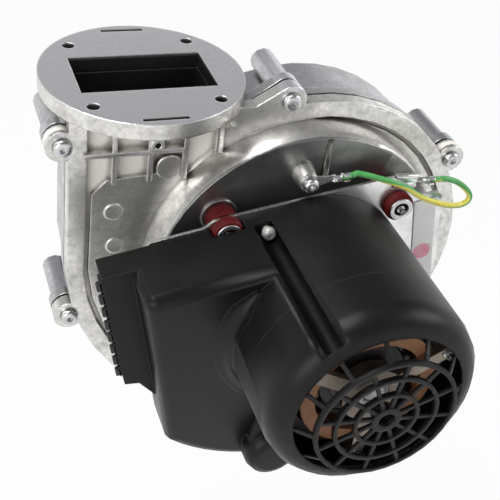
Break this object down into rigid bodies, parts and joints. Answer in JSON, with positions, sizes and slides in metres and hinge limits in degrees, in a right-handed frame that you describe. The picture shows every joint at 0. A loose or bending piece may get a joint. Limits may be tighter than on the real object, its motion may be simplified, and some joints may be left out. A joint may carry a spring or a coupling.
{
  "type": "combustion fan",
  "caption": "Combustion fan for a gas boiler: die-cast scroll with square-bolted outlet flange, electric motor and electronics under a black hood with an open end grille.",
  "frame": {"origin": "centre of the outlet port, on the outlet flange's top face", "axes": "+Z out of the outlet flange, upward as the fan is mounted; +Y from the motor towards the gas inlet, along the shaft; +X from the outlet port across the scroll"},
  "size_m": [0.2264, 0.198, 0.2158],
  "materials": {
    "cast_aluminium": "die-cast, matte, slightly grained",
    "zinc_plated_steel": "bright zinc plating",
    "tinned_steel": "tin plating",
    "ground_steel": "ground and hardened",
    "laminated_steel": "stacked electrical sheet",
    "enamelled_copper": "wound enamelled copper wire",
    "hub_brass": "turned",
    "black_hood_plastic": "black, fine moulded grain",
    "impeller_plastic": "glass-filled, dark grey",
    "connector_plastic": "black",
    "terminal_plastic": "brown, moulded",
    "board_laminate": "green solder mask",
    "capacitor_sleeve": "dark shrink sleeve",
    "gasket_rubber": "black",
    "red_silicone": "dark red, matte",
    "seal_rubber": "felted grey",
    "magnet_ferrite": "sintered, dark grey",
    "label_paper": "white, satin",
    "lead_insulation": "green with a yellow stripe"
  },
  "bodies": {
    "fan_housing": {"bush_screw_1": "zinc_plated_steel", "bush_screw_2": "zinc_plated_steel", "bush_screw_3": "zinc_plated_steel", "bush_sleeve_1": "zinc_plated_steel", "bush_sleeve_2": "zinc_plated_steel", "bush_sleeve_3": "zinc_plated_steel", "capacitor_1": "capacitor_sleeve", "capacitor_2": "capacitor_sleeve", "casing_gasket": "gasket_rubber", "casing_screw_1": "zinc_plated_steel", "casing_screw_2": "zinc_plated_steel", "casing_screw_3": "zinc_plated_steel", "casing_screw_4": "zinc_plated_steel", "casing_screw_5": "zinc_plated_steel", "casing_screw_6": "zinc_plated_steel", "choke": "enamelled_copper", "circuit_board": "board_laminate", "earth_lead": "lead_insulation", "earth_screw": "zinc_plated_steel", "earth_washer": "zinc_plated_steel", "end_bracket": "cast_aluminium", "front_bearing_outer_ring": "ground_steel", "front_casing": "cast_aluminium", "hood_screw_1": "zinc_plated_steel", "hood_screw_2": "zinc_plated_steel", "mains_connector": "connector_plastic", "motor_bolt_1": "zinc_plated_steel", "motor_bolt_2": "zinc_plated_steel", "motor_bolt_3": "zinc_plated_steel", "motor_flange": "cast_aluminium", "motor_hood": "black_hood_plastic", "motor_plate": "zinc_plated_steel", "preload_spring": "ground_steel", "rating_label": "label_paper", "rear_bearing_outer_ring": "ground_steel", "rear_casing": "cast_aluminium", "ring_terminal": "tinned_steel", "rubber_bush_1": "red_silicone", "rubber_bush_2": "red_silicone", "rubber_bush_3": "red_silicone", "shaft_seal": "seal_rubber", "signal_connector": "connector_plastic", "spade_receptacle": "tinned_steel", "stator_coil_1": "enamelled_copper", "stator_coil_2": "enamelled_copper", "stator_coil_3": "enamelled_copper", "stator_coil_4": "enamelled_copper", "stator_coil_5": "enamelled_copper", "stator_coil_6": "enamelled_copper", "stator_core": "laminated_steel", "terminal_ring": "terminal_plastic"},
    "rotor": {"motor_shaft": "ground_steel", "impeller": "impeller_plastic", "impeller_shroud": "impeller_plastic", "impeller_hub": "hub_brass", "impeller_nut": "zinc_plated_steel", "front_bearing_inner_ring": "ground_steel", "rear_bearing_inner_ring": "ground_steel", "rotor_core": "laminated_steel", "rotor_magnet": "magnet_ferrite"}
  },
  "joints": [
    {"name": "rotor_spin", "type": "hinge", "parent": "fan_housing", "child": "rotor", "pos_m": [0.078, 0, -0.096], "axis": [0, 1, 0], "continuous": true}
  ]
}
